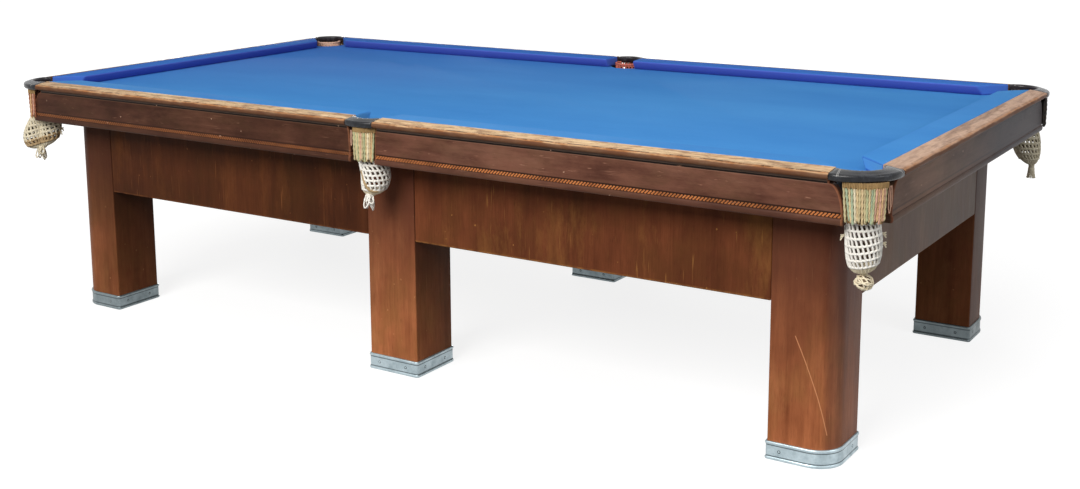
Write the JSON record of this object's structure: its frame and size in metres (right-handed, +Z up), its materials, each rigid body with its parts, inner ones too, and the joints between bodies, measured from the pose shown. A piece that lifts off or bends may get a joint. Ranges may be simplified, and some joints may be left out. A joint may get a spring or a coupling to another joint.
{
  "type": "billiard table",
  "caption": "Six-legged slate-bed billiard table with cloth-covered bed and cushions, mahogany base, metal shoes and leather-covered pockets with corded fringes and swinging net bags.",
  "frame": {"origin": "on the floor under the middle of the bed", "axes": "+X along the table to the right end, +Y to the back long side, +Z up"},
  "size_m": [3.1188, 1.7144, 0.811],
  "materials": {
    "slate": "sawn, matt",
    "blue_cloth": "napped wool",
    "cushion_cloth": "napped wool",
    "bearer_pine": "bare",
    "mahogany": "worn satin polish",
    "dark_mahogany": "worn satin polish",
    "worn_walnut": "rubbed, worn",
    "sheet_metal": "galvanised",
    "black_leather": "satin",
    "cord_fringe": "twisted cord",
    "cotton_net": "knotted cotton"
  },
  "bodies": {
    "table": {"apron_back_left": "mahogany", "apron_back_right": "mahogany", "apron_end_left": "mahogany", "apron_end_right": "mahogany", "apron_front_left": "mahogany", "apron_front_right": "mahogany", "bed_cloth": "blue_cloth", "bed_frame": "bearer_pine", "blind_back_left": "dark_mahogany", "blind_back_right": "dark_mahogany", "blind_end_left": "dark_mahogany", "blind_end_right": "dark_mahogany", "blind_front_left": "dark_mahogany", "blind_front_right": "dark_mahogany", "cushion_back_left": "cushion_cloth", "cushion_back_right": "cushion_cloth", "cushion_end_left": "cushion_cloth", "cushion_end_right": "cushion_cloth", "cushion_front_left": "cushion_cloth", "cushion_front_right": "cushion_cloth", "fringe_back_left": "cord_fringe", "fringe_back_middle": "cord_fringe", "fringe_back_right": "cord_fringe", "fringe_front_left": "cord_fringe", "fringe_front_middle": "cord_fringe", "fringe_front_right": "cord_fringe", "iron_back_left": "black_leather", "iron_back_middle": "black_leather", "iron_back_right": "black_leather", "iron_front_left": "black_leather", "iron_front_middle": "black_leather", "iron_front_right": "black_leather", "leg_back_left": "mahogany", "leg_back_middle": "mahogany", "leg_back_right": "mahogany", "leg_front_left": "mahogany", "leg_front_middle": "mahogany", "leg_front_right": "mahogany", "rail_back_left": "worn_walnut", "rail_back_right": "worn_walnut", "rail_end_left": "worn_walnut", "rail_end_right": "worn_walnut", "rail_front_left": "worn_walnut", "rail_front_right": "worn_walnut", "shoe_back_left": "sheet_metal", "shoe_back_middle": "sheet_metal", "shoe_back_right": "sheet_metal", "shoe_front_left": "sheet_metal", "shoe_front_middle": "sheet_metal", "shoe_front_right": "sheet_metal", "slate_left": "slate", "slate_middle": "slate", "slate_right": "slate"},
    "bag_front_left": {"net_front_left": "cotton_net"},
    "bag_front_right": {"net_front_right": "cotton_net"},
    "bag_front_middle": {"net_front_middle": "cotton_net"},
    "bag_back_left": {"net_back_left": "cotton_net"},
    "bag_back_right": {"net_back_right": "cotton_net"},
    "bag_back_middle": {"net_back_middle": "cotton_net"}
  },
  "joints": [
    {"name": "swing_front_left", "type": "hinge", "parent": "table", "child": "bag_front_left", "pos_m": [-1.4774, -0.7662, 0.688], "axis": [0.7071, -0.7071, 0], "range_deg": [-15, 15]},
    {"name": "swing_front_right", "type": "hinge", "parent": "table", "child": "bag_front_right", "pos_m": [1.4774, -0.7662, 0.688], "axis": [0.7071, 0.7071, 0], "range_deg": [-15, 15]},
    {"name": "swing_front_middle", "type": "hinge", "parent": "table", "child": "bag_front_middle", "pos_m": [0, -0.7862, 0.688], "axis": [1, 0, 0], "range_deg": [-15, 15]},
    {"name": "swing_back_left", "type": "hinge", "parent": "table", "child": "bag_back_left", "pos_m": [-1.4774, 0.7662, 0.688], "axis": [-0.7071, -0.7071, 0], "range_deg": [-15, 15]},
    {"name": "swing_back_right", "type": "hinge", "parent": "table", "child": "bag_back_right", "pos_m": [1.4774, 0.7662, 0.688], "axis": [-0.7071, 0.7071, 0], "range_deg": [-15, 15]},
    {"name": "swing_back_middle", "type": "hinge", "parent": "table", "child": "bag_back_middle", "pos_m": [0, 0.7862, 0.688], "axis": [-1, 0, 0], "range_deg": [-15, 15]}
  ]
}
